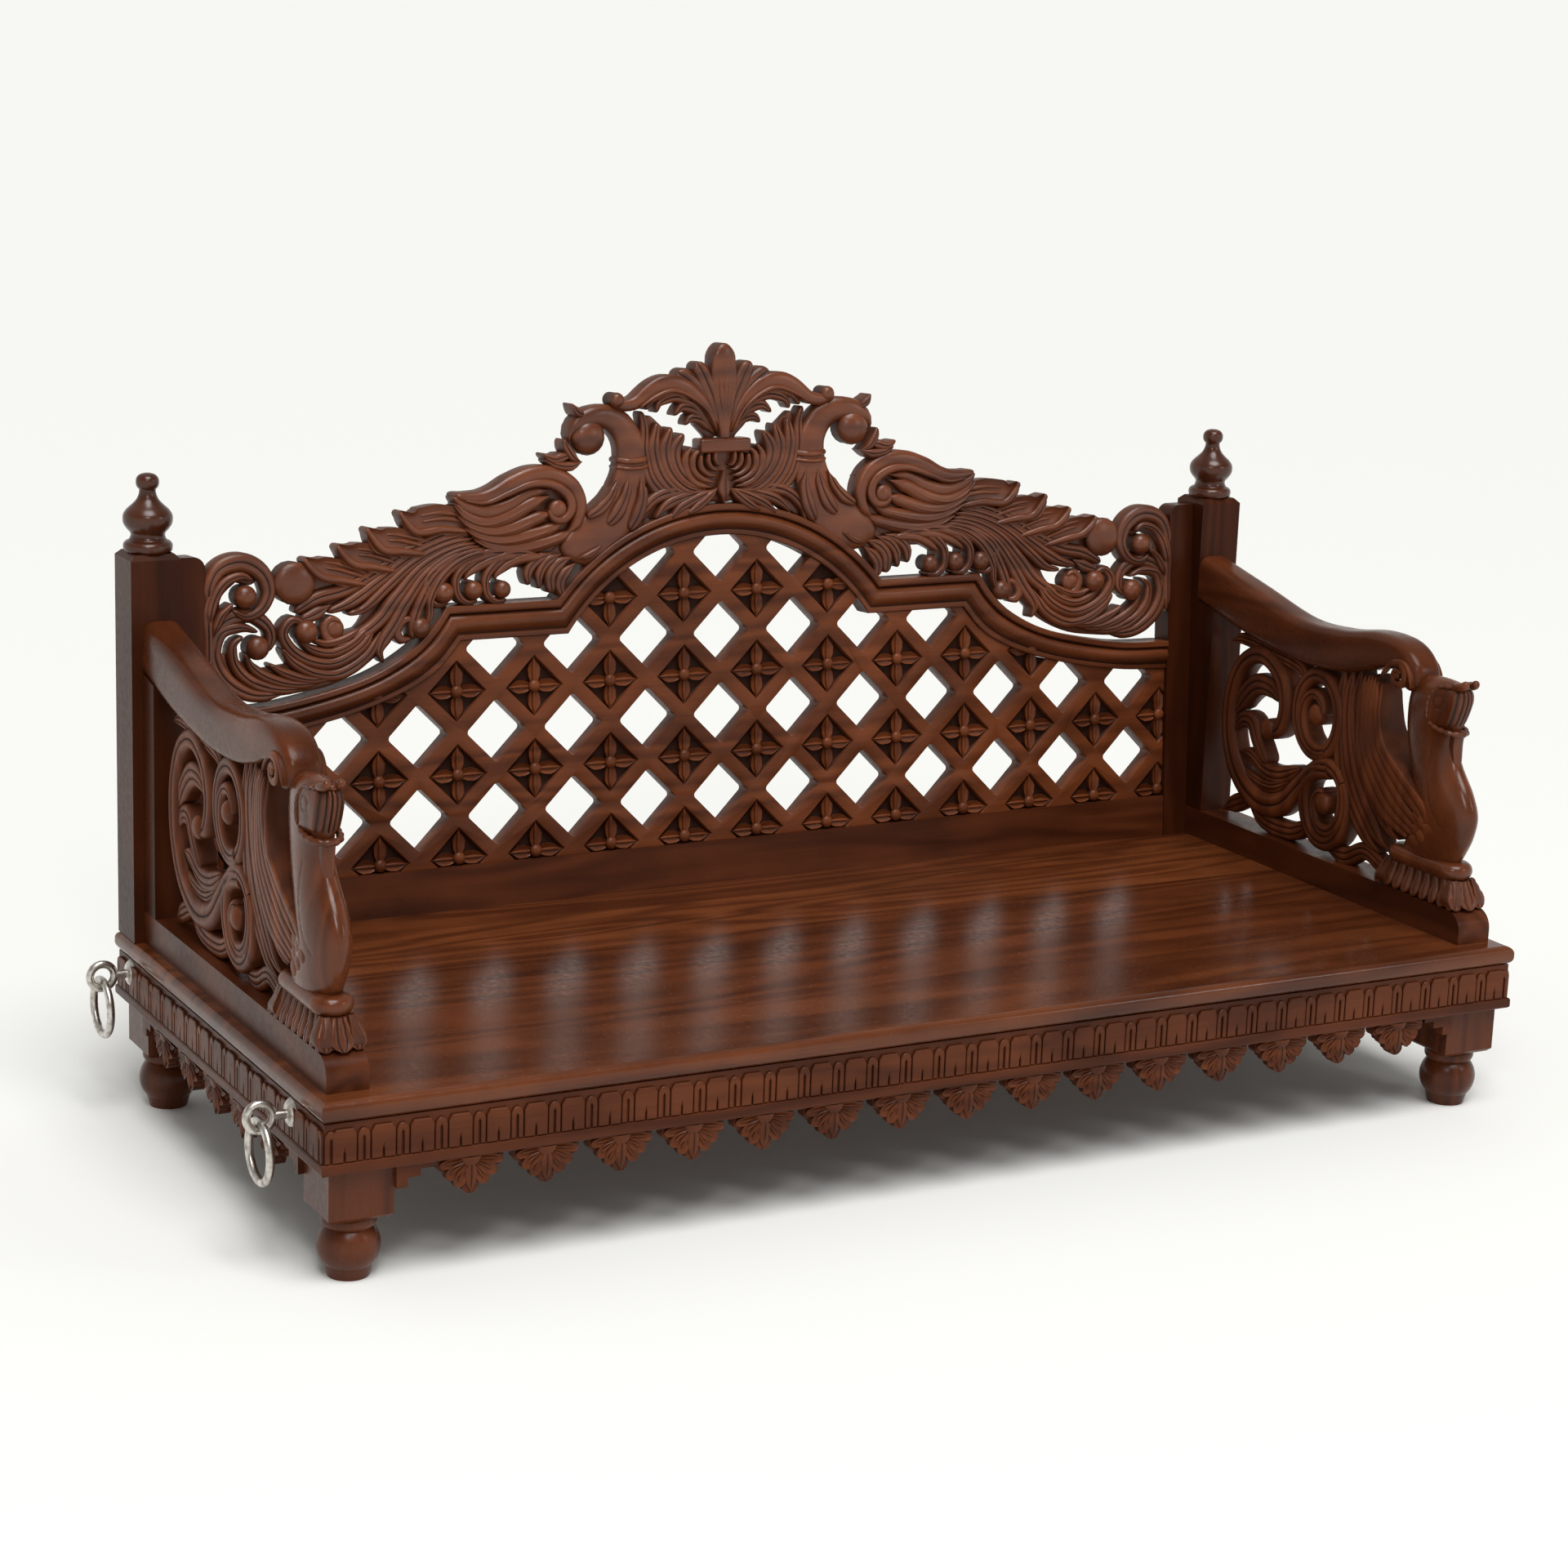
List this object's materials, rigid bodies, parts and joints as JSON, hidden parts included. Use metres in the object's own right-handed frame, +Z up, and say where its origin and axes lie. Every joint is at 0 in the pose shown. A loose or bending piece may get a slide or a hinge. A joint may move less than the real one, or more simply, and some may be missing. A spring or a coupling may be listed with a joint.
{
  "type": "jhoola swing seat",
  "caption": "Carved dark-wood swing seat with a latticed leaning back, peacock crest, scrolled arms, turned feet and steel hanging rings at the corners.",
  "frame": {"origin": "on the floor, under the middle of the seat", "axes": "+X along the seat, to the right seen from the front; +Y towards the back; +Z up"},
  "size_m": [1.597, 0.66, 0.8591],
  "materials": {
    "deck": "polished",
    "frame": "polished",
    "lattice": "polished",
    "carving": "satin",
    "steel": "worn"
  },
  "bodies": {
    "seat": {"apron_front": "frame", "apron_left": "frame", "apron_rear": "frame", "apron_right": "frame", "arch_moulding": "frame", "arm_base_rail_left": "frame", "arm_base_rail_right": "frame", "arm_scroll_panel_left": "carving", "arm_scroll_panel_right": "carving", "arm_stile_left": "frame", "arm_stile_right": "frame", "armrest_left": "frame", "armrest_right": "frame", "back_bottom_rail": "frame", "back_post_left": "frame", "back_post_right": "frame", "back_stile_left": "frame", "back_stile_right": "frame", "crest_centre": "carving", "crest_left": "carving", "crest_right": "carving", "eye_bolt_front_left": "steel", "eye_bolt_front_right": "steel", "eye_bolt_rear_left": "steel", "eye_bolt_rear_right": "steel", "eye_nut_front_left": "steel", "eye_nut_front_right": "steel", "eye_nut_rear_left": "steel", "eye_nut_rear_right": "steel", "eye_rosette_front_left": "steel", "eye_rosette_front_right": "steel", "eye_rosette_rear_left": "steel", "eye_rosette_rear_right": "steel", "finial_left": "frame", "finial_right": "frame", "lattice_panel": "lattice", "leg_front_left": "frame", "leg_front_right": "frame", "leg_rear_left": "frame", "leg_rear_right": "frame", "seat_batten_1": "frame", "seat_batten_2": "frame", "seat_batten_3": "frame", "seat_plank_1": "deck", "seat_plank_2": "deck", "seat_plank_3": "deck", "seat_plank_4": "deck", "seat_plank_5": "deck", "swan_left": "carving", "swan_right": "carving", "valance_front": "frame", "valance_left": "frame", "valance_right": "frame"},
    "ring_front_left": {"hanging_ring_front_left": "steel"},
    "ring_front_right": {"hanging_ring_front_right": "steel"},
    "ring_rear_left": {"hanging_ring_rear_left": "steel"},
    "ring_rear_right": {"hanging_ring_rear_right": "steel"}
  },
  "joints": [
    {"name": "ring_swing_front_left", "type": "hinge", "parent": "seat", "child": "ring_front_left", "pos_m": [-0.78, -0.235, 0.1615], "axis": [0, 1, 0], "range_deg": [0, 180]},
    {"name": "ring_swing_front_right", "type": "hinge", "parent": "seat", "child": "ring_front_right", "pos_m": [0.78, -0.235, 0.1615], "axis": [0, -1, 0], "range_deg": [0, 180]},
    {"name": "ring_swing_rear_left", "type": "hinge", "parent": "seat", "child": "ring_rear_left", "pos_m": [-0.78, 0.283, 0.1615], "axis": [0, 1, 0], "range_deg": [0, 180]},
    {"name": "ring_swing_rear_right", "type": "hinge", "parent": "seat", "child": "ring_rear_right", "pos_m": [0.78, 0.283, 0.1615], "axis": [0, -1, 0], "range_deg": [0, 180]}
  ]
}
